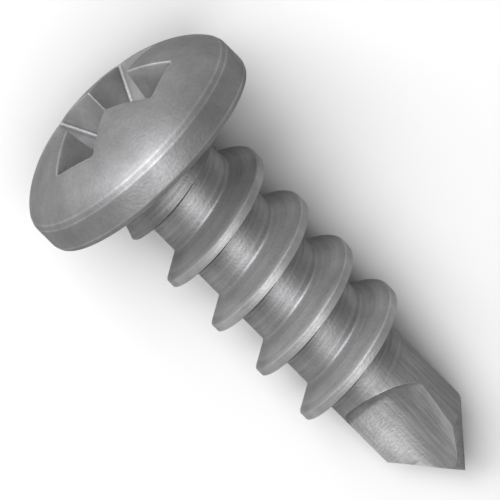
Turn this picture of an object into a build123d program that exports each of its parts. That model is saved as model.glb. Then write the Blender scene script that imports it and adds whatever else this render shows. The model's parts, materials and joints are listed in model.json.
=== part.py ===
from build123d import *

import os
from math import acos, asin, atan2, ceil, cos, degrees, hypot, radians, sin, sqrt, tan

# A self drilling screw: a pan head with a cross recess, a coarse single-start thread and a two-flute
# drill point, all one piece of steel.
# It is drawn upright, with the bearing face under the head at z = 0, the head above it and the tip below.
# A depth is measured from the bearing face towards the tip. An angle goes anticlockwise from +X, seen
# from the head. At the end the screw is laid on its side, as it comes to rest on a table.
# All sizes are in millimetres, and all angles in degrees.

# Head
head_diameter = 9.3
head_side_height = 1.33
head_dome_height = 1.63
dome_overhang = 0.14
rim_bevel_height = 0.21
rim_bevel_width = 0.08

# Cross recess. Its wings are sized at the height of the head's top, and are smaller where they meet the dome.
recess_wing_reach = 3.58
recess_wing_width = 2.08
recess_depth = 2.25
recess_floor_reach = 1.50
recess_floor_width = 1.60
recess_cone_depth = 0.35
recess_turn = 45.0

# Shank and thread
shank_diameter = 3.52
neck_fillet = 1.00
thread_diameter = 5.38
thread_pitch = 2.31
crest_width = 0.31
flank_width_head_side = 0.60
flank_width_tip_side = 0.27
first_crest_depth = 1.52
first_crest_angle = 180.0
run_in_start_depth = 0.25
run_in_start_diameter = 4.10
run_in_end_depth = 2.20
run_out_end_depth = 11.19
run_out_length = 0.26

# Drill point. The flutes start clear of the thread, at a distance from where it runs out.
length_under_head = 16.42
point_angle = 84.0
lip_relief_angle = 4.0
web_thickness = 0.50
flute_half_span = 56.0
thread_to_flute_gap = 0.31
flute_end_height = 0.90
flute_helix_angle = 10.0
flute_angle = -110.0

head_radius = head_diameter / 2
shank_radius = shank_diameter / 2
thread_radius = thread_diameter / 2
head_height = head_side_height + head_dome_height
run_out_start_depth = run_out_end_depth - run_out_length
flute_start_depth = run_out_end_depth + thread_to_flute_gap
shoulder_depth = length_under_head - shank_radius / tan(radians(point_angle / 2))


def head_blank():
    """The forged head: a flat bearing face, a bevelled rim and an elliptical dome that meets it at an angle."""
    edge_radius = head_radius - rim_bevel_width
    dome_x_radius = head_radius + dome_overhang
    edge_share = sqrt(1 - (edge_radius / dome_x_radius) ** 2)
    edge_angle = degrees(asin(edge_share))
    dome_y_radius = head_dome_height / (1 - edge_share)
    with BuildPart() as head:
        with BuildSketch(Plane.XZ):
            with BuildLine():
                Polyline(
                    (0, head_height),
                    (0, 0),
                    (edge_radius, 0),
                    (head_radius, rim_bevel_height),
                    (head_radius, head_side_height - rim_bevel_height),
                    (edge_radius, head_side_height),
                )
                EllipticalCenterArc(
                    center=(0, head_height - dome_y_radius),
                    x_radius=dome_x_radius,
                    y_radius=dome_y_radius,
                    start_angle=edge_angle,
                    arc_size=90 - edge_angle,
                )
            make_face()
        revolve(axis=Axis.Z)
    return head.part


def recess_wings():
    """Two crossed bars that taper to the recess floor on all sides."""
    floor_height = head_height - recess_depth
    top_section = Plane.XY.offset(head_height) * Rectangle(2 * recess_wing_reach, recess_wing_width)
    floor_section = Plane.XY.offset(floor_height) * Rectangle(2 * recess_floor_reach, recess_floor_width)
    bar = loft([floor_section.face(), top_section.face()])
    return bar + Rot(0, 0, 90) * bar


def recess_tool():
    """The punch that forms the cross recess: four tapered wings and a shallow cone at the floor."""
    cone_radius = recess_floor_width / 2
    cone_centre = head_height - recess_depth - recess_cone_depth / 2
    cone = Pos(0, 0, cone_centre) * Cone(cone_radius / 4, cone_radius, recess_cone_depth)
    return Rot(0, 0, recess_turn) * (recess_wings() + cone)


def shank_blank():
    """The round shank with the fillet that carries it into the bearing face."""
    neck_radius = shank_radius + neck_fillet
    with BuildPart() as shank:
        with BuildSketch(Plane.XZ):
            with BuildLine():
                Polyline((shank_radius, -neck_fillet), (shank_radius, -length_under_head))
                Line((shank_radius, -length_under_head), (0, -length_under_head))
                Polyline((0, -length_under_head), (0, rim_bevel_height), (neck_radius, rim_bevel_height))
                Line((neck_radius, rim_bevel_height), (neck_radius, 0))
                CenterArc((neck_radius, -neck_fillet), neck_fillet, 90, 90)
            make_face()
        revolve(axis=Axis.Z)
    return shank.part


def thread_envelope():
    """The round form that the thread fills: a cylinder with a cone where the thread starts and ends."""
    run_out_radius = shank_radius - crest_width / 2
    with BuildPart() as envelope:
        with BuildSketch(Plane.XZ):
            with BuildLine():
                Polyline(
                    (0, -run_in_start_depth),
                    (run_in_start_diameter / 2, -run_in_start_depth),
                    (thread_radius, -run_in_end_depth),
                    (thread_radius, -run_out_start_depth),
                    (run_out_radius, -run_out_end_depth),
                    (0, -run_out_end_depth),
                    close=True,
                )
            make_face()
        revolve(axis=Axis.Z)
    return envelope.part


def thread_turn():
    """One turn of the ridge: a flat crest, a long flank towards the head and a steep one towards the tip."""
    thread_depth = thread_radius - shank_radius
    root_radius = shank_radius - thread_depth / 4
    top_radius = thread_radius + crest_width / 2

    def head_side(radius):
        return crest_width / 2 + (thread_radius - radius) * flank_width_head_side / thread_depth

    def tip_side(radius):
        return -crest_width / 2 - (thread_radius - radius) * flank_width_tip_side / thread_depth

    path = Helix(pitch=thread_pitch, height=thread_pitch, radius=thread_radius)
    section = Plane.XZ * Polygon(
        (root_radius, tip_side(root_radius)),
        (top_radius, tip_side(top_radius)),
        (top_radius, head_side(top_radius)),
        (root_radius, head_side(root_radius)),
        align=None,
    )
    return sweep(section, path=path, is_frenet=True)


def thread():
    """The ridge turn by turn, from the tip up to the head, trimmed to its envelope."""
    ridge = thread_turn()
    envelope = thread_envelope()
    turn_start_angle = 20
    angle_past_crest = (turn_start_angle - first_crest_angle) % 360
    start_depth = first_crest_depth - thread_pitch * angle_past_crest / 360
    turn_count = ceil((run_out_end_depth - start_depth) / thread_pitch) + 1
    turns = []
    for turn in range(turn_count):
        turn_depth = start_depth + turn * thread_pitch
        turns.append(Pos(0, 0, -turn_depth) * (Rot(0, 0, turn_start_angle) * ridge) & envelope)
    return [trimmed for trimmed in turns if trimmed.volume > 0]


def flute_cutter_size():
    """How far the axis of the flute cutter lies from that of the screw, and the cutter's radius."""
    edge_x = shank_radius * cos(radians(flute_half_span))
    web = web_thickness / 2
    cutter_offset = (shank_radius**2 - web**2) / (2 * (edge_x - web))
    return cutter_offset, cutter_offset - web


def flute_tool():
    """A round cutter with a domed end, set so that two of them leave the web between them."""
    cutter_offset, cutter_radius = flute_cutter_size()
    cutter_length = 2 * (length_under_head - flute_start_depth)
    with BuildPart() as cutter:
        with BuildSketch(Plane.XZ):
            with BuildLine():
                EllipticalCenterArc(
                    center=(0, -flute_end_height),
                    x_radius=cutter_radius,
                    y_radius=flute_end_height,
                    start_angle=0,
                    arc_size=90,
                )
                Polyline((0, 0), (0, -cutter_length), (cutter_radius, -cutter_length))
                Line((cutter_radius, -cutter_length), (cutter_radius, -flute_end_height))
            make_face()
        revolve(axis=Axis.Z)
    return Pos(cutter_offset, 0, -flute_start_depth) * (Rot(-flute_helix_angle, 0, 0) * cutter.part)


def lip_angle_at_shoulder():
    """The angle of the flute's leading edge where the cylinder ends and the point begins."""
    cutter_offset, cutter_radius = flute_cutter_size()
    shift = tan(radians(flute_helix_angle)) * (shoulder_depth - flute_start_depth)
    reach = hypot(cutter_offset, shift)
    half_span = acos((reach**2 + shank_radius**2 - cutter_radius**2) / (2 * reach * shank_radius))
    return flute_angle - degrees(atan2(shift, cutter_offset)) + degrees(half_span)


def drill_tip():
    """The point: a cone for each half of the turn, tipped back so that it falls away behind its lip."""
    reach = 2 * length_under_head
    cone_height = reach / tan(radians(point_angle / 2))
    cone = Pos(0, 0, cone_height / 2) * Cone(0, reach, cone_height)
    half = Pos(0, reach / 2, 0) * Box(2 * reach, reach, 4 * length_under_head)
    relieved = Pos(0, 0, -length_under_head) * (Rot(lip_relief_angle, 0, 0) * cone) & half
    return [Rot(0, 0, lip_angle_at_shoulder() + turn) * relieved for turn in (0, 180)]


def screw_upright():
    """The whole screw, head up."""
    shank = shank_blank()
    body = Part() + [shank & half for half in drill_tip()]
    for turn in thread():
        body += turn
    for turn in (0, 180):
        body -= Rot(0, 0, flute_angle + turn) * flute_tool()
    return (head_blank() + body) - recess_tool()


def lying_place(screw):
    """Where the upright screw goes: on its side, on the rim of the head and the last full turn of thread."""
    table_side_angle = 90
    first_table_depth = first_crest_depth + thread_pitch * (first_crest_angle - table_side_angle) / 360
    turns_past_first = int((run_out_start_depth - first_table_depth) / thread_pitch)
    rest_depth = first_table_depth + turns_past_first * thread_pitch
    tilt = atan2(head_radius - thread_radius, rim_bevel_height + rest_depth)
    lying = Plane(origin=(0, 0, 0), x_dir=(0, 1, 0), z_dir=(-cos(tilt), 0, sin(tilt)))
    box = (lying.location * screw).bounding_box()
    centre = box.center()
    print(f"the axis dips {degrees(tilt):.2f} degrees towards the tip")
    return Pos(-centre.X, -centre.Y, -box.min.Z) * lying.location


os.makedirs("parts", exist_ok=True)
upright = screw_upright()
export_step(lying_place(upright) * upright, "parts/screw.step")
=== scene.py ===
import json
from math import atan, atan2, cos, pi, radians, sin, sqrt, tan

import bpy
from mathutils import Matrix, Vector


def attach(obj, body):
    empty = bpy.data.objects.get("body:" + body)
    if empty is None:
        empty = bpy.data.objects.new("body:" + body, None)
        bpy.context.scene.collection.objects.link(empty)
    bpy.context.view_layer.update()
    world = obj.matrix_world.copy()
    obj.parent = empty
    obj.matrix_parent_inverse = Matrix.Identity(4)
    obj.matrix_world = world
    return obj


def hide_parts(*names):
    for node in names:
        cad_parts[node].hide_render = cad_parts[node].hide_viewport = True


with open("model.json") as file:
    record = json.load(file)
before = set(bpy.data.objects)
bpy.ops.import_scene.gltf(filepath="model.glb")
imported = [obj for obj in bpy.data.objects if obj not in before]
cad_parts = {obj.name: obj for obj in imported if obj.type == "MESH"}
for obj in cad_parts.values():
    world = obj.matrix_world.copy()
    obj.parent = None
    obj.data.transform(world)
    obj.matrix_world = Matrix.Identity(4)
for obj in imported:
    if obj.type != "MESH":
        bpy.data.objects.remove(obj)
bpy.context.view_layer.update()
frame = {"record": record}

# The screw's own sizes in millimetres, as the solid model has them. They hold for the screw held upright,
# with the bearing face under the head at z = 0 and the tip below. A depth goes from the bearing face towards
# the tip, and an angle goes anticlockwise from +X, seen from the head.
MM = 0.001
HEAD_RADIUS = 4.65
HEAD_SIDE_HEIGHT = 1.33
HEAD_DOME_HEIGHT = 1.63
HEAD_HEIGHT = HEAD_SIDE_HEIGHT + HEAD_DOME_HEIGHT
RIM_BEVEL_HEIGHT = 0.21
RIM_BEVEL_WIDTH = 0.08
EDGE_RADIUS = HEAD_RADIUS - RIM_BEVEL_WIDTH
DOME_OVERHANG = 0.14
DOME_RADIUS = HEAD_RADIUS + DOME_OVERHANG
DOME_RISE = HEAD_DOME_HEIGHT / (1 - sqrt(1 - (EDGE_RADIUS / DOME_RADIUS) ** 2))

RECESS_WING_REACH = 3.58
RECESS_WING_HALF_WIDTH = 1.04
RECESS_DEPTH = 2.25
RECESS_FLOOR_REACH = 1.50
RECESS_FLOOR_HALF_WIDTH = 0.80
RECESS_CONE_DEPTH = 0.35
RECESS_TURN = radians(45)

SHANK_RADIUS = 1.76
NECK_FILLET = 1.00
THREAD_RADIUS = 2.69
THREAD_PITCH = 2.31
CREST_WIDTH = 0.31
FLANK_HEAD_SIDE = 0.60
FLANK_TIP_SIDE = 0.27
FIRST_CREST_DEPTH = 1.52
RUN_IN_START_DEPTH = 0.25
RUN_IN_START_RADIUS = 2.05
RUN_IN_END_DEPTH = 2.20
RUN_OUT_START_DEPTH = 10.93
RUN_OUT_END_DEPTH = 11.19
RUN_OUT_END_RADIUS = SHANK_RADIUS - CREST_WIDTH / 2

LENGTH_UNDER_HEAD = 16.42
HALF_POINT_ANGLE = radians(42)
LIP_RELIEF = radians(4)
HALF_WEB = 0.25
FLUTE_HALF_SPAN = radians(56)
FLUTE_START_DEPTH = 11.50
FLUTE_END_HEIGHT = 0.90
FLUTE_HELIX = radians(10)
FLUTE_ANGLE = radians(-110)
CUTTER_OFFSET = (SHANK_RADIUS**2 - HALF_WEB**2) / (2 * (SHANK_RADIUS * cos(FLUTE_HALF_SPAN) - HALF_WEB))
CUTTER_RADIUS = CUTTER_OFFSET - HALF_WEB

# How far edges and corners are rounded, in millimetres. A pair is for the outer and the inner corners of
# the recess.
FORGED_EDGE = 0.06
RECESS_LIP = 0.07
RECESS_MOUTH_CORNERS = (0.12, 0.06)
RECESS_FLOOR_CORNERS = (0.15, 0.08)
ROLLED_EDGE = 0.035
ROLLED_ROOT = 0.08

# How finely the head is meshed: columns all round the screw, steps of a round or a line, and rings, as shares
# of the way from the cone to the floor's outline, up the wall from the floor, and over the lip
COLUMNS = 240
ROUND_STEPS = 4
ROUND_SHARE_OF_EDGE = 1 / 2.2
INNER_CORNER_STEPS = 3
WING_SIDE_STEPS = 14
WING_CORNER_STEPS = 6
CONE_SHARE_OF_FLOOR = 0.97
CONE_MIDDLE_RADIUS = 0.02
FLOOR_RINGS = (0.0, 0.25, 0.5, 0.75, 0.93)
WALL_RINGS = (0.985, 0.96, 0.85, 0.7, 0.55, 0.4, 0.25, 0.1, 0.0)
LIP_RINGS = (0.25, 0.5, 0.75, 1.0)
DOME_STEPS = 26
DOME_EDGE_START = 0.04
NECK_STEPS = 6

# How finely the thread is meshed: the zone that is rolled, rows by their distance from a foot or a crest edge
# or by their share of a flank or the core, and extra rows where the thread starts and ends
THREAD_ZONE_START = 0.20
THREAD_ZONE_END = 11.21
THREAD_ZONE_MARGIN = 0.012
HEAD_FOOT_ROWS = (-0.07, -0.035, 0.0, 0.035, 0.07)
HEAD_FLANK_ROWS = (0.25, 0.4, 0.55, 0.7, 0.83)
HEAD_CREST_EDGE_ROWS = (-0.04, -0.015, 0.01, 0.04)
TIP_CREST_EDGE_ROWS = (-0.04, -0.012, 0.008, 0.022)
TIP_FLANK_ROWS = (0.22, 0.4, 0.6, 0.78)
TIP_FOOT_ROWS = (-0.03, -0.015, 0.0, 0.02, 0.045)
CORE_ROWS = (0.16, 0.3, 0.44, 0.58, 0.72, 0.84)
END_ROWS = 84
CLOSEST_ROWS = 0.008
RUN_IN_FINE_TO = 1.00
RUN_OUT_FINE_FROM = 10.85

# How finely the drill point is meshed: the columns of half a turn, and its rings from the thread to the tip
FLUTE_COLUMNS = 75
LAND_COLUMNS = 45
SPREAD_RINGS = 13
FLUTE_END_RINGS = 22
FLUTE_RINGS = 14
TIP_RINGS = 40
TIP_CROWDING = 1.35
WIDEST_FLUTE_HALF = radians(75)
NARROWEST_FLUTE_HALF = radians(9)
HALVINGS = 30
SETTLING_ROUNDS = 20

# The finish: the size of its marks in millimetres, its colours, and how far the recess is lightened:
# burnished by its punch, and lit with painted light against the shade inside it
MOTTLE_SIZE = 1.4
GRIT_SIZE = 0.11
ROLLING_LINE_SPACING = 0.11
ROLLING_LINE_LENGTH = 3.0
DRAWN_LINE_SPACING = 0.12
DRAWN_LINE_LENGTH = 2.0
LINE_HEIGHT = 0.006
LINES_FADE_IN = (-0.1, -0.6)
LINES_FADE_OUT = (-FLUTE_START_DEPTH, -THREAD_ZONE_END)
GRIT_HEIGHT = 0.010
DARK_OXIDE = "#6c6c6d"
LIGHT_OXIDE = "#818182"
GRIT_COLOUR = "#5c5c5d"
LINE_COLOUR = "#a4a4a5"
# The lighter steel on crests, edges and in the recess: partly abrasion, partly painted highlight and painted
# light
RUBBED_AND_LIT_COLOUR = "#9c9c9d"
SHEEN_COLOUR = "#a0a0a0"
# The recess's lightening: burnish, and painted light against its shade
RECESS_BURNISH_AND_LIGHT = 0.9
CREST_RUBBED_AND_LIT_FROM = 0.93
ROUGHNESS = (0.54, 0.46)
RUBBED_ROUGHNESS_CHANGE = -0.05
METALLIC = 0.65

# Which part of each noise shows, from where a mark is absent to where it is full, and how much of its colour
# a full mark has
MOTTLE_RANGE = (0.3, 0.7)
PATCH_RANGE = (0.35, 0.65)
PATCH_COVER = (0.25, 0.75)
GRIT_RANGE = (0.35, 0.75)
LINE_RANGE = (0.35, 0.7)
FULL_MARK = 0.35

# The sharpest bend between two faces that is still shaded as one smooth surface
SMOOTH_UP_TO = radians(32)

# The photograph: its scale, and where the screw stands in it, counted along and across the 45 degree line
PHOTO_SIZE = 500.0
PHOTO_PIXEL = 0.03524
VIEW_TO_AXIS = radians(73)
BEARING_FACE_ALONG = 217.4
AXIS_ACROSS = -3.4
LENS = 1400.0
SENSOR = 36.0

# The studio, in metres
SOFT_BOX_LEAN = radians(12)
SOFT_BOX_DISTANCE = 0.42
SURROUNDINGS_STRENGTH = 0.1
CARD_COLOUR = "#aeaeae"
CARD_ROUGHNESS = 0.9


def screw_place():
    """Lays the upright screw, in millimetres, where it lies in metres, by the record's thread mount."""
    mounts = {mount["name"]: mount for mount in frame["record"]["mounts"]}
    thread = mounts["thread"]
    to_head = -Vector(thread["axis"]).normalized()
    across = Vector((0, 1, 0))
    turn = Matrix((across, to_head.cross(across), to_head)).transposed().to_4x4()
    middle_depth = (RUN_IN_END_DEPTH + RUN_OUT_START_DEPTH) / 2
    bearing_centre = Vector(thread["pos_m"]) + to_head * middle_depth * MM
    return Matrix.Translation(bearing_centre) @ turn @ Matrix.Scale(MM, 4)


PLACE = screw_place()


def blend(start, end, share):
    return start + (end - start) * share


def at(radius, angle, z):
    return Vector((radius * cos(angle), radius * sin(angle), z))


def where_it_ends(holds, low, high):
    """How far something holds that holds at low and no longer at high, found by halving the way between."""
    for _ in range(HALVINGS):
        middle = (low + high) / 2
        if holds(middle):
            low = middle
        else:
            high = middle
    return low


def rounded_profile(corners, reach):
    """A profile of (radius, z) corners, each but the ends replaced by a short round."""
    corners = [Vector(corner) for corner in corners]
    points = [corners[0]]
    for before, corner, after in zip(corners, corners[1:], corners[2:]):
        ends = []
        for neighbour in (before, after):
            way = neighbour - corner
            ends.append(corner + way.normalized() * min(reach, way.length * ROUND_SHARE_OF_EDGE))
        for step in range(ROUND_STEPS + 1):
            share = step / ROUND_STEPS
            points.append(blend(blend(ends[0], corner, share), blend(corner, ends[1], share), share))
    points.append(corners[-1])
    return points


def dome_z(radius):
    return HEAD_HEIGHT - DOME_RISE * (1 - sqrt(1 - (radius / DOME_RADIUS) ** 2))


def arc_steps(centre_x, centre_y, radius, start, end, steps):
    angles = [radians(blend(start, end, step / steps)) for step in range(steps)]
    return [Vector((centre_x + radius * cos(angle), centre_y + radius * sin(angle))) for angle in angles]


def line_steps(start, end, steps):
    return [blend(Vector(start), Vector(end), step / steps) for step in range(steps)]


def cross_outline(reach, half, outer, inner):
    """The outline of the cross recess, one point for each column, from the inner corner at angle 0."""
    wing = arc_steps(half + inner, -half - inner, inner, 135, 90, INNER_CORNER_STEPS)
    wing += line_steps((half + inner, -half), (reach - outer, -half), WING_SIDE_STEPS)
    wing += arc_steps(reach - outer, -half + outer, outer, -90, 0, WING_CORNER_STEPS)
    wing += line_steps((reach, -half + outer), (reach, half - outer), WING_SIDE_STEPS)
    wing += arc_steps(reach - outer, half - outer, outer, 0, 90, WING_CORNER_STEPS)
    wing += line_steps((reach - outer, half), (half + inner, half), WING_SIDE_STEPS)
    wing += arc_steps(half + inner, half + inner, inner, -90, -135, INNER_CORNER_STEPS)
    outline = []
    for quarter in range(4):
        turn = Matrix.Rotation(RECESS_TURN + quarter * pi / 2, 2)
        outline += [turn @ point for point in wing]
    return outline


def recess_rings():
    """The punched recess, from the middle of its floor up to its rounded mouth in the dome."""
    outer, inner = RECESS_MOUTH_CORNERS
    top = cross_outline(RECESS_WING_REACH, RECESS_WING_HALF_WIDTH, outer, inner)
    floor = cross_outline(RECESS_FLOOR_REACH, RECESS_FLOOR_HALF_WIDTH, *RECESS_FLOOR_CORNERS)
    floor_z = HEAD_HEIGHT - RECESS_DEPTH
    cone_z = floor_z - RECESS_CONE_DEPTH
    cone_radius = RECESS_FLOOR_HALF_WIDTH * CONE_SHARE_OF_FLOOR
    angles = [2 * pi * column / COLUMNS for column in range(COLUMNS)]

    # An outline 1 mm further out tells which way each point of the mouth goes to widen it
    wider = cross_outline(RECESS_WING_REACH + 1, RECESS_WING_HALF_WIDTH + 1, outer + 1, inner - 1)
    outward = [out - here for out, here in zip(wider, top)]

    def wall(column, share):
        """A point on the wall, its share of the way from the height of the head's top down to the floor."""
        flat = blend(top[column], floor[column], share)
        return Vector((flat.x, flat.y, HEAD_HEIGHT - RECESS_DEPTH * share))

    def above_dome(point):
        return point.z > dome_z(point.xy.length)

    mouth = []
    for column in range(COLUMNS):
        mouth.append(where_it_ends(lambda share: above_dome(wall(column, share)), 0.0, 1.0))
    lip_share = RECESS_LIP / RECESS_DEPTH
    rings = []
    cone_corners = ((CONE_MIDDLE_RADIUS, cone_z), (cone_radius / 4, cone_z), (cone_radius, floor_z))
    for radius, z in rounded_profile(cone_corners, FORGED_EDGE)[:-1]:
        rings.append([at(radius, angle, z) for angle in angles])
    for share in FLOOR_RINGS:
        ring = []
        for column, angle in enumerate(angles):
            flat = blend(at(cone_radius, angle, 0).xy, floor[column], share)
            ring.append(Vector((flat.x, flat.y, floor_z)))
        rings.append(ring)
    for share in WALL_RINGS:
        ring = [wall(column, blend(mouth[column] + lip_share, 1.0, share)) for column in range(COLUMNS)]
        rings.append(ring)
    for share in LIP_RINGS:
        ring = []
        for column in range(COLUMNS):
            inside = wall(column, mouth[column] + lip_share)
            corner = wall(column, mouth[column])
            flat = corner.xy + outward[column] * RECESS_LIP
            outside = Vector((flat.x, flat.y, dome_z(flat.length)))
            ring.append(blend(blend(inside, corner, share), blend(corner, outside, share), share))
        rings.append(ring)
    return rings


def dome_rings(mouth):
    """The forged dome, from the mouth of the recess out to its edge."""
    rings = []
    for step in range(1, DOME_STEPS):
        share = sin(pi / 2 * step / DOME_STEPS)
        ring = []
        for column, point in enumerate(mouth):
            flat = blend(point.xy, at(EDGE_RADIUS, 2 * pi * column / COLUMNS, 0).xy, share)
            ring.append(Vector((flat.x, flat.y, dome_z(flat.length))))
        rings.append(ring)
    return rings


def blank_radius(depth):
    """The radius of the blank before its thread is rolled: the fillet under the head, then the shank."""
    if depth >= NECK_FILLET:
        return SHANK_RADIUS
    return SHANK_RADIUS + NECK_FILLET - sqrt(NECK_FILLET**2 - (NECK_FILLET - depth) ** 2)


def rim_rings():
    """The bevelled rim, the bearing face and the start of the fillet."""
    dome_end = EDGE_RADIUS - DOME_EDGE_START
    corners = [
        (dome_end, dome_z(dome_end)),
        (EDGE_RADIUS, HEAD_SIDE_HEIGHT),
        (HEAD_RADIUS, HEAD_SIDE_HEIGHT - RIM_BEVEL_HEIGHT),
        (HEAD_RADIUS, RIM_BEVEL_HEIGHT),
        (EDGE_RADIUS, 0),
        (SHANK_RADIUS + NECK_FILLET, 0),
    ]
    profile = rounded_profile(corners, FORGED_EDGE)[1:]
    for step in range(1, NECK_STEPS + 1):
        depth = THREAD_ZONE_START * (step / NECK_STEPS) ** 2
        profile.append(Vector((blank_radius(depth), -depth)))
    return [[at(radius, 2 * pi * column / COLUMNS, z) for column in range(COLUMNS)] for radius, z in profile]


def recess_burnish_and_light(column):
    """How far the recess is lightened: all over, as burnish from its punch and driver and as painted light
    against the shade inside it, but not in the corners of its wings, which keep the plain colour and so dim
    their highlight lines.
    """
    past_first_corner = column % (COLUMNS // 4) - INNER_CORNER_STEPS - WING_SIDE_STEPS
    past_second_corner = past_first_corner - WING_CORNER_STEPS - WING_SIDE_STEPS
    in_a_corner = min(abs(past - WING_CORNER_STEPS / 2) for past in (past_first_corner, past_second_corner))
    return 0.0 if in_a_corner <= WING_CORNER_STEPS / 2 else RECESS_BURNISH_AND_LIGHT


def rim_wear_and_highlight(place):
    """How much lighter a point of the head is, as abraded steel and as a painted highlight on the rim's bevel
    bands:
    1 on an edge of the rim, and 0 at a short way from it.
    """
    edges = (
        (EDGE_RADIUS, HEAD_SIDE_HEIGHT),
        (HEAD_RADIUS, HEAD_SIDE_HEIGHT - RIM_BEVEL_HEIGHT),
        (HEAD_RADIUS, RIM_BEVEL_HEIGHT),
        (EDGE_RADIUS, 0.0),
    )
    profile_point = Vector((place.xy.length, place.z))
    nearest = min((profile_point - Vector(edge)).length for edge in edges)
    return max(0.0, 1.0 - nearest / FORGED_EDGE)


def rows_in_a_pitch():
    """Where the mesh has rows across one pitch, counted from the middle of the crest towards the tip."""
    edge = CREST_WIDTH / 2
    head_root = -edge - FLANK_HEAD_SIDE
    tip_root = edge + FLANK_TIP_SIDE
    rows = [head_root + move for move in HEAD_FOOT_ROWS]
    rows += [blend(head_root, -edge, share) for share in HEAD_FLANK_ROWS]
    rows += [-edge + move for move in HEAD_CREST_EDGE_ROWS]
    rows += [0.0]
    rows += [edge + move for move in TIP_CREST_EDGE_ROWS]
    rows += [blend(edge, tip_root, share) for share in TIP_FLANK_ROWS]
    rows += [tip_root + move for move in TIP_FOOT_ROWS]
    rows += [blend(tip_root, head_root + THREAD_PITCH, share) for share in CORE_ROWS]
    return rows


def all_rows():
    """The rows of one pitch in order, and which of them are only for the thread's two ends."""
    rows = rows_in_a_pitch()
    extra = [rows[0] + THREAD_PITCH * number / END_ROWS for number in range(END_ROWS)]
    extra = [row for row in extra if min(abs(row - other) for other in rows) > CLOSEST_ROWS]
    return sorted(rows + extra), set(extra)


def shank_columns(places):
    """The blank between head and drill point: in each column, the depth of each helical row by its number."""
    rows, extra = all_rows()
    turns = range(-2, int(THREAD_ZONE_END / THREAD_PITCH) + 2)
    first_depth = THREAD_ZONE_START + THREAD_ZONE_MARGIN
    last_depth = THREAD_ZONE_END - THREAD_ZONE_MARGIN
    columns = []
    for column in range(COLUMNS):
        crest = FIRST_CREST_DEPTH + THREAD_PITCH * (0.5 - column / COLUMNS)
        found = {}
        for turn in turns:
            for number, row in enumerate(rows):
                depth = crest + turn * THREAD_PITCH + row
                if row in extra and RUN_IN_FINE_TO < depth < RUN_OUT_FINE_FROM:
                    continue
                if first_depth < depth < last_depth:
                    found[turn * len(rows) + number] = len(places)
                    places.append(at(blank_radius(depth), 2 * pi * column / COLUMNS, -depth))
        columns.append(found)
    return columns, len(rows)


def shank_faces(columns, rows_each_turn, upper, lower):
    """Joins the helical rows of each column to those of the next, and both ends to flat rings."""
    faces = []
    for column, left in enumerate(columns):
        after = (column + 1) % COLUMNS
        shift = rows_each_turn if after == 0 else 0
        right = {number + shift: place for number, place in columns[after].items()}
        left_side, right_side = [upper[column]], [upper[after]]
        for number in sorted(set(left) | set(right)):
            if number in left:
                left_side.append(left[number])
            if number in right:
                right_side.append(right[number])
            if number in left and number in right:
                faces.append(left_side + right_side[::-1])
                left_side, right_side = [left[number]], [right[number]]
        faces.append(left_side + [lower[column], lower[after]] + right_side[::-1])
    return faces


def cone_slope(angle):
    """How fast the ground point widens above the tip at an angle. It falls away behind each lip."""
    behind = abs(sin(angle - LIP_ANGLE))
    square = cos(HALF_POINT_ANGLE) ** 2
    a = (sin(LIP_RELIEF) * behind) ** 2 - square
    b = -2 * cos(LIP_RELIEF) * sin(LIP_RELIEF) * behind
    c = cos(LIP_RELIEF) ** 2 - square
    return (-b - sqrt(b * b - 4 * a * c)) / (2 * a)


def cutter_radius_at(along):
    """The radius of the flute cutter at a distance from its domed end."""
    if along >= FLUTE_END_HEIGHT:
        return CUTTER_RADIUS
    return CUTTER_RADIUS * sqrt(1 - (1 - along / FLUTE_END_HEIGHT) ** 2)


def flute_depth(along, off, radius):
    """The depth of a point on the cutter: along its leaning axis, and off the flute's middle."""
    return FLUTE_START_DEPTH + (along + radius * sin(off) * sin(FLUTE_HELIX)) / cos(FLUTE_HELIX)


def flute_radius(along, off):
    """How far from the screw's axis the cutter leaves metal, or None where it passes clear."""
    lean = along * tan(FLUTE_HELIX)
    steep = 1 / cos(FLUTE_HELIX)
    a = cos(off) ** 2 + (steep * sin(off)) ** 2
    b = 2 * (steep * lean * sin(off) - CUTTER_OFFSET * cos(off))
    c = CUTTER_OFFSET**2 + lean**2 - cutter_radius_at(along) ** 2
    inside = b * b - 4 * a * c
    if inside < 0 or b > 0:
        return None
    return (-b - sqrt(inside)) / (2 * a)


def outer_radius(along, off):
    """The radius of the shank or of its ground point at a place on the cutter."""
    slope = cone_slope(FLUTE_ANGLE + off)
    left = LENGTH_UNDER_HEAD - FLUTE_START_DEPTH - along / cos(FLUTE_HELIX)
    return min(SHANK_RADIUS, slope * left / (1 + slope * sin(off) * tan(FLUTE_HELIX)))


def flute_edge(along, side):
    """Where the flute's wall meets the outside, off the flute's middle, on its side +1 or -1."""
    middle = -atan2(along * tan(FLUTE_HELIX), CUTTER_OFFSET)

    def in_flute(off):
        wall = flute_radius(along, off)
        return wall is not None and wall < outer_radius(along, off)

    edge = where_it_ends(in_flute, middle, middle + side * WIDEST_FLUTE_HALF)
    return middle + side * max(abs(edge - middle), NARROWEST_FLUTE_HALF)


def shoulder_depth(off):
    """Where the shank ends and its ground point begins."""
    return LENGTH_UNDER_HEAD - SHANK_RADIUS / cone_slope(FLUTE_ANGLE + off)


def shoulder_along(off):
    """The same place, counted along the cutter."""
    past_start = (shoulder_depth(off) - FLUTE_START_DEPTH) * cos(FLUTE_HELIX)
    return past_start - SHANK_RADIUS * sin(off) * sin(FLUTE_HELIX)


def lip_angle_at_shoulder():
    """The flute's leading edge where the shank ends, before any relief is ground."""
    depth = LENGTH_UNDER_HEAD - SHANK_RADIUS / tan(HALF_POINT_ANGLE)
    along = (depth - FLUTE_START_DEPTH) * cos(FLUTE_HELIX)

    def in_flute(off):
        wall = flute_radius(along, off)
        return wall is not None and wall < SHANK_RADIUS

    return FLUTE_ANGLE + where_it_ends(in_flute, 0.0, WIDEST_FLUTE_HALF)


LIP_ANGLE = lip_angle_at_shoulder()


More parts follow.
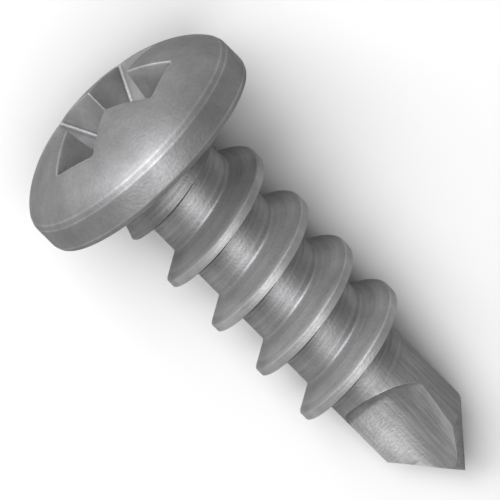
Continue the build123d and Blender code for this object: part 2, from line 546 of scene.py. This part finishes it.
def half_ring(along_low, along_high, bend, cut):
    """Half a turn of the drill point: one flute and the land after it, as (radius, angle, depth).

    The ring lies along_low and along_high up the cutter at the flute's two edges. Bend is how far the land
    follows the shoulder's curve, and cut is false for the plain ring that the flute's end starts from."""
    edge_low = flute_edge(along_low, -1)
    edge_high = flute_edge(along_high, 1)
    ring = []
    for step in range(FLUTE_COLUMNS):
        share = step / FLUTE_COLUMNS
        off = blend(edge_low, edge_high, share)
        along = blend(along_low, along_high, share)
        radius = outer_radius(along, off)
        wall = flute_radius(along, off)
        if cut and wall is not None:
            radius = min(radius, wall)
        ring.append((radius, FLUTE_ANGLE + off, flute_depth(along, off, radius)))
    ends = []
    for off, along in ((edge_high, along_high), (edge_low, along_low)):
        ends.append((off, flute_depth(along, off, outer_radius(along, off)), shoulder_depth(off)))
    for step in range(LAND_COLUMNS):
        share = step / LAND_COLUMNS
        off = blend(ends[0][0], ends[1][0] + pi, share)
        straight = blend(ends[0][1], ends[1][1], share)
        curve = shoulder_depth(off) - blend(ends[0][2], ends[1][2], share)
        depth = straight + bend * curve
        slope = cone_slope(FLUTE_ANGLE + off)
        radius = min(SHANK_RADIUS, slope * (LENGTH_UNDER_HEAD - depth))
        ring.append((radius, FLUTE_ANGLE + off, depth))
    return ring


def half_rings():
    """Half a turn of each ring from the flutes' end to just above the tip. One ring follows the shoulder."""
    edge_low, edge_high = -WIDEST_FLUTE_HALF, WIDEST_FLUTE_HALF
    for _ in range(SETTLING_ROUNDS):
        low, high = shoulder_along(edge_low), shoulder_along(edge_high)
        edge_low, edge_high = flute_edge(low, -1), flute_edge(high, 1)
    tip = (LENGTH_UNDER_HEAD - FLUTE_START_DEPTH) * cos(FLUTE_HELIX)
    first_cut = FLUTE_END_HEIGHT * (1 - sqrt(1 - ((CUTTER_OFFSET - SHANK_RADIUS) / CUTTER_RADIUS) ** 2))
    halves = [half_ring(first_cut, first_cut, 0.0, False)]
    for step in range(1, FLUTE_END_RINGS + 1):
        along = blend(first_cut, FLUTE_END_HEIGHT, 1 - cos(pi / 2 * step / FLUTE_END_RINGS))
        halves.append(half_ring(along, along, 0.0, True))
    for step in range(1, FLUTE_RINGS + 1):
        share = step / FLUTE_RINGS
        along_low = blend(FLUTE_END_HEIGHT, low, share)
        along_high = blend(FLUTE_END_HEIGHT, high, share)
        halves.append(half_ring(along_low, along_high, share, True))
    for step in range(1, TIP_RINGS + 1):
        share = 1 - (1 - step / (TIP_RINGS + 0.5)) ** TIP_CROWDING
        halves.append(half_ring(blend(low, tip, share), blend(high, tip, share), 1 - share, True))
    return halves


def drill_point_rings():
    """The fluted drill point, from the end of the thread to the tip, and the columns of its sharp edges."""
    whole_turns = []
    for half in half_rings():
        whole_turns.append(half + [(radius, angle + pi, depth) for radius, angle, depth in half])

    # The columns are numbered so that the middle of the flute lies on the column at its angle
    first = round(FLUTE_ANGLE % (2 * pi) / (2 * pi) * COLUMNS) - FLUTE_COLUMNS // 2
    turn = round(whole_turns[0][0][1] / (2 * pi) - first / COLUMNS)
    angles = [2 * pi * (turn + (column + first) / COLUMNS) for column in range(COLUMNS)]

    # Above the flutes, the rings pass from evenly spread columns to those of the first cut
    spread = []
    for step in range(SPREAD_RINGS):
        share = step / SPREAD_RINGS
        ring = []
        for angle, (_, cut_angle, cut_depth) in zip(angles, whole_turns[0]):
            depth = blend(THREAD_ZONE_END, cut_depth, share)
            ring.append((SHANK_RADIUS, blend(angle, cut_angle, share), depth))
        spread.append(ring)
    rings = []
    for whole in spread + whole_turns:
        ring = [at(radius, angle, -depth) for radius, angle, depth in whole]
        rings.append([ring[(column - first) % COLUMNS] for column in range(COLUMNS)])
    half = COLUMNS // 2
    edges = [(edge + first) % COLUMNS for edge in (0, FLUTE_COLUMNS, half, half + FLUTE_COLUMNS)]
    return rings, edges


def screw_blank():
    """The whole screw as one closed mesh, upright and in millimetres, with its thread still to be rolled."""
    places = []
    faces = []
    # How much each point is lightened: abrasion, a painted highlight on edges, and painted light in the
    # recess
    wear_and_light = {}

    def lay_rings(rings):
        numbers = []
        for ring in rings:
            numbers.append(list(range(len(places), len(places) + COLUMNS)))
            places.extend(ring)
        return numbers

    def join(rings):
        for upper, lower in zip(rings, rings[1:]):
            for column in range(COLUMNS):
                after = (column + 1) % COLUMNS
                faces.append([upper[column], lower[column], lower[after], upper[after]])

    recess = recess_rings()
    head = lay_rings(recess + dome_rings(recess[-1]) + rim_rings())
    point_rings, point_edges = drill_point_rings()
    point = lay_rings(point_rings)
    lip_start = len(recess) - len(LIP_RINGS)
    # The recess is lightened all over, as burnish and as painted light against its shade, but for its wing
    # corners
    for ring in head[:lip_start]:
        wear_and_light.update({number: recess_burnish_and_light(column) for column, number in enumerate(ring)})
    for ring in head[lip_start : len(recess) - 1]:
        wear_and_light.update({number: 1.0 for number in ring})
    # The rim's edges are lighter: abraded steel, and a painted highlight along the bevel bands
    for ring in head[len(recess) :]:
        wear_and_light.update({number: rim_wear_and_highlight(places[number]) for number in ring})
    # Painted highlight lines along the flute edges, so that the edges show
    for ring in point[SPREAD_RINGS + 1 :]:
        wear_and_light.update({ring[column]: 1.0 for column in point_edges})
    join(head)
    join(point)
    columns, rows_each_turn = shank_columns(places)
    faces += shank_faces(columns, rows_each_turn, head[-1], point[0])
    floor_middle = len(places)
    places.append(Vector((0, 0, HEAD_HEIGHT - RECESS_DEPTH - RECESS_CONE_DEPTH)))
    tip = len(places)
    places.append(Vector((0, 0, -LENGTH_UNDER_HEAD)))
    for column in range(COLUMNS):
        after = (column + 1) % COLUMNS
        faces.append([floor_middle, head[0][column], head[0][after]])
        faces.append([tip, point[-1][after], point[-1][column]])
    mesh = bpy.data.meshes.new("screw")
    mesh.from_pydata([place[:] for place in places], [], faces)
    worn_and_lit = mesh.attributes.new("worn_and_lit", "FLOAT", "POINT")
    worn_and_lit.data.foreach_set("value", [wear_and_light.get(number, 0.0) for number in range(len(places))])
    mesh.validate()
    screw = bpy.data.objects.new("steel_screw", mesh)
    bpy.context.collection.objects.link(screw)
    return screw


def add(tree, kind, settings=None, *values, **named):
    """Adds a node with its settings, sets or links its inputs in order or by name, and gives its output."""
    node = tree.nodes.new(kind)
    for name, value in (settings or {}).items():
        setattr(node, name, value)
    for socket, value in list(enumerate(values)) + list(named.items()):
        if isinstance(value, bpy.types.NodeSocket):
            tree.links.new(value, node.inputs[socket])
        else:
            node.inputs[socket].default_value = value
    return node.outputs[0]


# Where the ridge's feet and crest edges lie is counted from the middle of its crest towards the tip.
THREAD_SIZES = {
    "Pitch": THREAD_PITCH,
    "Core radius": SHANK_RADIUS,
    "Crest radius": THREAD_RADIUS,
    "Foot on head side": -CREST_WIDTH / 2 - FLANK_HEAD_SIDE,
    "Crest edge on head side": -CREST_WIDTH / 2,
    "Crest edge on tip side": CREST_WIDTH / 2,
    "Foot on tip side": CREST_WIDTH / 2 + FLANK_TIP_SIDE,
    "First crest depth": FIRST_CREST_DEPTH,
    "Run-in start": RUN_IN_START_DEPTH,
    "Run-in start radius": RUN_IN_START_RADIUS,
    "Run-in end": RUN_IN_END_DEPTH,
    "Run-out start": RUN_OUT_START_DEPTH,
    "Run-out end": RUN_OUT_END_DEPTH,
    "Run-out end radius": RUN_OUT_END_RADIUS,
    "Edge round": ROLLED_EDGE,
    "Root round": ROLLED_ROOT,
    "Rolled from": THREAD_ZONE_START + THREAD_ZONE_MARGIN / 2,
    "Rolled to": THREAD_ZONE_END - THREAD_ZONE_MARGIN / 2,
}


def thread_rolling_tree(material):
    """Rolls a right-hand thread onto the blank: each point is pushed out to the ridge that passes it."""
    tree = bpy.data.node_groups.new("thread rolling", "GeometryNodeTree")
    tree.interface.new_socket("Geometry", in_out="INPUT", socket_type="NodeSocketGeometry")
    for name, size in THREAD_SIZES.items():
        socket = tree.interface.new_socket(name, in_out="INPUT", socket_type="NodeSocketFloat")
        socket.default_value = size
    tree.interface.new_socket("Geometry", in_out="OUTPUT", socket_type="NodeSocketGeometry")
    sizes = tree.nodes.new("NodeGroupInput").outputs
    core, crest, edge_round = sizes["Core radius"], sizes["Crest radius"], sizes["Edge round"]
    math, ramp = "ShaderNodeMath", "ShaderNodeMapRange"
    straight_on = {"clamp": False}

    # How far each point lies past the middle of the nearest crest, towards the tip
    place = add(tree, "ShaderNodeSeparateXYZ", {}, add(tree, "GeometryNodeInputPosition")).node.outputs
    depth = add(tree, math, {"operation": "MULTIPLY"}, place["Z"], -1.0)
    angle = add(tree, math, {"operation": "ARCTAN2"}, place["Y"], place["X"])
    turn = add(tree, math, {"operation": "MULTIPLY_ADD"}, angle, 0.5 / pi, -0.5)
    crest_depth = add(tree, math, {"operation": "MULTIPLY"}, turn, sizes["Pitch"])
    crest_depth = add(tree, math, {"operation": "SUBTRACT"}, sizes["First crest depth"], crest_depth)
    past = add(tree, math, {"operation": "SUBTRACT"}, depth, crest_depth)
    half_pitch = add(tree, math, {"operation": "DIVIDE"}, sizes["Pitch"], 2.0)
    half_back = add(tree, math, {"operation": "MULTIPLY"}, half_pitch, -1.0)
    past_crest = add(tree, math, {"operation": "WRAP"}, past, half_pitch, half_back)

    # The ridge's radius there: two flanks under a flat crest, with its edges eased
    head_side = (sizes["Foot on head side"], sizes["Crest edge on head side"])
    tip_side = (sizes["Foot on tip side"], sizes["Crest edge on tip side"])
    head_flank = add(tree, ramp, straight_on, past_crest, *head_side, core, crest)
    tip_flank = add(tree, ramp, straight_on, past_crest, *tip_side, core, crest)
    flanks = add(tree, math, {"operation": "MINIMUM"}, head_flank, tip_flank)
    ridge = add(tree, math, {"operation": "SMOOTH_MIN"}, flanks, crest, edge_round)

    # It grows out of the neck and runs out before the drill point
    run_in = (sizes["Run-in start"], sizes["Run-in end"], sizes["Run-in start radius"], crest)
    run_out = (sizes["Run-out start"], sizes["Run-out end"], crest, sizes["Run-out end radius"])
    growing = add(tree, ramp, straight_on, depth, *run_in)
    fading = add(tree, ramp, straight_on, depth, *run_out)
    envelope = add(tree, math, {"operation": "SMOOTH_MIN"}, growing, fading, edge_round)
    trimmed = add(tree, math, {"operation": "SMOOTH_MIN"}, ridge, envelope, edge_round)

    # Each point moves straight out from the axis, never in
    flat = add(tree, "ShaderNodeCombineXYZ", {}, place["X"], place["Y"])
    blank = add(tree, "ShaderNodeVectorMath", {"operation": "LENGTH"}, flat).node.outputs["Value"]
    rolled = add(tree, math, {"operation": "SMOOTH_MAX"}, blank, trimmed, sizes["Root round"])
    grown = add(tree, math, {"operation": "MAXIMUM"}, rolled, blank)
    growth = add(tree, math, {"operation": "DIVIDE"}, grown, blank)
    growth = add(tree, math, {"operation": "SUBTRACT"}, growth, 1.0)
    push = add(tree, "ShaderNodeVectorMath", {"operation": "SCALE"}, flat, Scale=growth)
    below_neck = add(tree, math, {"operation": "GREATER_THAN"}, depth, sizes["Rolled from"])
    above_point = add(tree, math, {"operation": "LESS_THAN"}, depth, sizes["Rolled to"])
    rolled_part = add(tree, math, {"operation": "MULTIPLY"}, below_neck, above_point)
    moved = add(
        tree, "GeometryNodeSetPosition", {}, sizes["Geometry"], Selection=rolled_part, Offset=push
    )

    # The material reads how high up the ridge a point lies, from 0 at the core to 1 at the crest
    height = add(tree, ramp, straight_on, rolled, core, crest, 0.0, 1.0)
    height = add(tree, math, {"operation": "MULTIPLY"}, height, rolled_part)
    stored = {"data_type": "FLOAT", "domain": "POINT"}
    kept = add(tree, "GeometryNodeStoreNamedAttribute", stored, moved, Name="ridge", Value=height)
    real = add(tree, "GeometryNodeRealizeInstances", {}, kept)
    dressed = add(tree, "GeometryNodeSetMaterial", {}, real, Material=material)
    tree.links.new(dressed, tree.nodes.new("NodeGroupOutput").inputs[0])
    return tree


def roll_thread(blank, material):
    """The finished piece: the thread is rolled, the mesh is made plain and laid where the solid lies."""
    modifier = blank.modifiers.new("thread rolling", "NODES")
    modifier.node_group = thread_rolling_tree(material)
    for item in modifier.node_group.interface.items_tree:
        if item.in_out == "INPUT" and item.name in THREAD_SIZES:
            modifier[item.identifier] = THREAD_SIZES[item.name]
    bpy.context.view_layer.update()
    mesh = bpy.data.meshes.new_from_object(blank.evaluated_get(bpy.context.evaluated_depsgraph_get()))
    blank.modifiers.clear()
    blank.data = mesh
    mesh.transform(PLACE)
    mesh.polygons.foreach_set("use_smooth", [True] * len(mesh.polygons))
    mesh.set_sharp_from_angle(angle=SMOOTH_UP_TO)
    mesh.update()
    return blank


def linear(hex_colour):
    """An sRGB hex colour as linear RGBA."""
    channels = [int(hex_colour[start : start + 2], 16) / 255 for start in (1, 3, 5)]
    return [c / 12.92 if c <= 0.04045 else ((c + 0.055) / 1.055) ** 2.4 for c in channels] + [1.0]


def black_oxide_steel():
    """Black oxide on cold-forged and rolled steel: a thin dark grey layer with a satin sheen.

    To the eye it is a soft metallic grey, a little uneven in tone, with a fine grit all over and fine lines
    along the rolled thread. The crests and the rim's edges are lighter, partly bare steel where the layer is
    abraded and partly a painted highlight. The flute edges carry painted highlight lines, the lip of the
    recess is lighter, and the recess is lighter all over, partly burnished and partly painted light against
    its shade. The real grit is a few hundredths of a millimetre, too fine to show, so it is drawn three times
    as coarse."""
    material = bpy.data.materials.new("black oxide steel")
    material.use_nodes = True
    tree = material.node_tree
    math, ramp = "ShaderNodeMath", "ShaderNodeMapRange"
    noise, mix = "ShaderNodeTexNoise", "ShaderNodeMixRGB"
    object_place = add(tree, "ShaderNodeTexCoord").node.outputs["Object"]
    to_own = PLACE.to_3x3().normalized().inverted()
    centred = {"Location": -(to_own @ PLACE.translation), "Rotation": to_own.to_euler()}
    own = add(tree, "ShaderNodeMapping", {}, object_place, **centred)
    parts = add(tree, "ShaderNodeSeparateXYZ", {}, own).node.outputs

    mottle = add(tree, noise, {}, own, Scale=1 / (MOTTLE_SIZE * MM), Detail=4.0, Roughness=0.6)
    grit = add(tree, noise, {}, own, Scale=1 / (GRIT_SIZE * MM), Detail=2.0, Roughness=0.6)

    # The rolling lines follow the thread: their noise lies on a circle that closes once in every pitch
    angle = add(tree, math, {"operation": "ARCTAN2"}, parts["Y"], parts["X"])
    along_pitch = (parts["Z"], -2 * pi / (THREAD_PITCH * MM), angle)
    pitch_angle = add(tree, math, {"operation": "MULTIPLY_ADD"}, *along_pitch)
    line_radius = THREAD_PITCH / (2 * pi * ROLLING_LINE_SPACING)
    pitch_cos = add(tree, math, {"operation": "COSINE"}, pitch_angle)
    pitch_sin = add(tree, math, {"operation": "SINE"}, pitch_angle)
    circle_x = add(tree, math, {"operation": "MULTIPLY"}, pitch_cos, line_radius)
    circle_y = add(tree, math, {"operation": "MULTIPLY"}, pitch_sin, line_radius)
    round_x = add(tree, math, {"operation": "MULTIPLY"}, parts["X"], 1 / (ROLLING_LINE_LENGTH * MM))
    round_y = add(tree, math, {"operation": "MULTIPLY"}, parts["Y"], 1 / (ROLLING_LINE_LENGTH * MM))
    line_place = add(tree, "ShaderNodeCombineXYZ", {}, circle_x, circle_y, round_x)
    lines = add(tree, noise, {"noise_dimensions": "4D"}, line_place, round_y, Scale=1.0, Detail=2.0)
    height = add(tree, math, {"operation": "DIVIDE"}, parts["Z"], MM)
    below_head = add(tree, ramp, {}, height, *LINES_FADE_IN, 0.0, 1.0)
    above_point = add(tree, ramp, {}, height, *LINES_FADE_OUT, 0.0, 1.0)
    on_shank = add(tree, math, {"operation": "MULTIPLY"}, below_head, above_point)
    lines = add(tree, math, {"operation": "MULTIPLY"}, lines, on_shank)

    # The drill point is drawn lengthwise, and its lines take over where the rolled ones end
    across, lengthwise = 1 / (DRAWN_LINE_SPACING * MM), 1 / (DRAWN_LINE_LENGTH * MM)
    stretched = add(tree, "ShaderNodeMapping", {}, own, Scale=(across, across, lengthwise))
    drawn = add(tree, noise, {}, stretched, Scale=1.0, Detail=2.0)
    on_point = add(tree, math, {"operation": "SUBTRACT"}, 1.0, above_point)
    lines = add(tree, math, {"operation": "MULTIPLY_ADD"}, drawn, on_point, lines)

    # Lighter steel in patches on the crests and edges and in the recess: bare steel where the layer is
    # abraded, with a painted highlight on the crests and edges and painted light against the shade in the
    # recess
    ridge = add(tree, "ShaderNodeAttribute", {"attribute_name": "ridge"}).node.outputs["Fac"]
    worn_and_lit = add(tree, "ShaderNodeAttribute", {"attribute_name": "worn_and_lit"}).node.outputs["Fac"]
    crest = add(tree, ramp, {"interpolation_type": "SMOOTHSTEP"}, ridge, CREST_RUBBED_AND_LIT_FROM, 1.0, 0.0, 1.0)
    edge = add(tree, math, {"operation": "MAXIMUM"}, crest, worn_and_lit)
    patches = add(tree, ramp, {}, mottle, *PATCH_RANGE, *PATCH_COVER)
    rubbed_and_lit = add(tree, math, {"operation": "MULTIPLY"}, edge, patches)

    tone = add(tree, ramp, {}, mottle, *MOTTLE_RANGE, 0.0, 1.0)
    layer = add(tree, mix, {}, tone, linear(DARK_OXIDE), linear(LIGHT_OXIDE))
    grit_tone = add(tree, ramp, {}, grit, *GRIT_RANGE, 0.0, FULL_MARK)
    layer = add(tree, mix, {}, grit_tone, layer, linear(GRIT_COLOUR))
    line_tone = add(tree, ramp, {}, lines, *LINE_RANGE, 0.0, FULL_MARK)
    layer = add(tree, mix, {}, line_tone, layer, linear(LINE_COLOUR))
    # The lightening laid on: bare steel, painted highlight and painted light
    colour = add(tree, mix, {}, rubbed_and_lit, layer, linear(RUBBED_AND_LIT_COLOUR))
    satin = add(tree, ramp, {}, mottle, *MOTTLE_RANGE, *ROUGHNESS)
    roughness = add(tree, math, {"operation": "MULTIPLY_ADD"}, rubbed_and_lit, RUBBED_ROUGHNESS_CHANGE, satin)

    line_bump = add(tree, "ShaderNodeBump", {}, Distance=LINE_HEIGHT * MM, Height=lines)
    grit_bump = add(tree, "ShaderNodeBump", {}, Distance=GRIT_HEIGHT * MM, Height=grit, Normal=line_bump)
    shader = tree.nodes["Principled BSDF"]
    tree.links.new(colour, shader.inputs["Base Color"])
    tree.links.new(roughness, shader.inputs["Roughness"])
    tree.links.new(grit_bump, shader.inputs["Normal"])
    shader.inputs["Metallic"].default_value = METALLIC
    shader.inputs["Specular Tint"].default_value = linear(SHEEN_COLOUR)
    return material


def camera():
    """The photograph's view: the screw's axis runs down to the right at 45 degrees, with the head nearer."""
    turn = PLACE.to_3x3().normalized()
    across = turn @ Vector((1, 0, 0))
    front = turn @ Vector((0, -1, 0))
    to_head = turn @ Vector((0, 0, 1))
    back = front * sin(VIEW_TO_AXIS) + to_head * cos(VIEW_TO_AXIS)
    along = front * cos(VIEW_TO_AXIS) - to_head * sin(VIEW_TO_AXIS)
    right = (across + along).normalized()
    up = (across - along).normalized()
    centre_along = PHOTO_SIZE / 2 * sqrt(2)
    centre_depth = (centre_along - BEARING_FACE_ALONG) * PHOTO_PIXEL / sin(VIEW_TO_AXIS)
    target = PLACE @ Vector((-AXIS_ACROSS * PHOTO_PIXEL, 0, -centre_depth))
    distance = PHOTO_SIZE * PHOTO_PIXEL * MM * LENS / SENSOR
    data = bpy.data.cameras.new("camera")
    data.lens = LENS
    data.sensor_width = SENSOR
    data.clip_start = distance / 50
    data.clip_end = distance * 4
    item = bpy.data.objects.new("camera", data)
    bpy.context.collection.objects.link(item)
    turned = Matrix((right, up, back)).transposed().to_4x4()
    item.matrix_world = Matrix.Translation(target + back * distance) @ turned
    bpy.context.scene.camera = item


def soft_box(name, elevation, length, width, power):
    """A soft box aimed at the screw, with its length in line with it and its width across it.

    The elevation goes up from the head's end. The lean goes towards the side on the photo's lower left."""
    across = cos(SOFT_BOX_LEAN)
    out = Vector((-cos(elevation) * across, -sin(SOFT_BOX_LEAN), sin(elevation) * across))
    along = Vector((0, 1, 0)).cross(out).normalized()
    data = bpy.data.lights.new(name, "AREA")
    data.shape = "RECTANGLE"
    data.size = length
    data.size_y = width
    data.energy = power
    item = bpy.data.objects.new(name, data)
    bpy.context.collection.objects.link(item)
    turned = Matrix((along, out.cross(along), out)).transposed().to_4x4()
    item.matrix_world = Matrix.Translation(out * SOFT_BOX_DISTANCE) @ turned
    item.visible_camera = False


def floor():
    """A plain pale table top, 2 m square."""
    mesh = bpy.data.meshes.new("floor")
    mesh.from_pydata([(-1, -1, 0), (1, -1, 0), (1, 1, 0), (-1, 1, 0)], [], [(0, 1, 2, 3)])
    item = bpy.data.objects.new("floor", mesh)
    bpy.context.collection.objects.link(item)
    card = bpy.data.materials.new("pale card")
    card.use_nodes = True
    shader = card.node_tree.nodes["Principled BSDF"]
    shader.inputs["Base Color"].default_value = linear(CARD_COLOUR)
    shader.inputs["Roughness"].default_value = CARD_ROUGHNESS
    mesh.materials.append(card)


def studio():
    """Dim white surroundings, and two soft boxes in line with the screw, so that its sides fall off."""
    world = bpy.data.worlds.new("white studio")
    bpy.context.scene.world = world
    world.use_nodes = True
    surroundings = world.node_tree.nodes["Background"].inputs
    surroundings["Color"].default_value = linear("#ffffff")
    surroundings["Strength"].default_value = SURROUNDINGS_STRENGTH
    soft_box("overhead soft box", elevation=radians(85), length=0.60, width=0.34, power=4.3)
    soft_box("head side soft box", elevation=radians(38), length=0.40, width=0.40, power=2.2)
    bpy.context.scene.view_settings.view_transform = "Standard"


steel = black_oxide_steel()
screw = roll_thread(screw_blank(), steel)
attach(screw, "root")
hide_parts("screw")
camera()
floor()
studio()
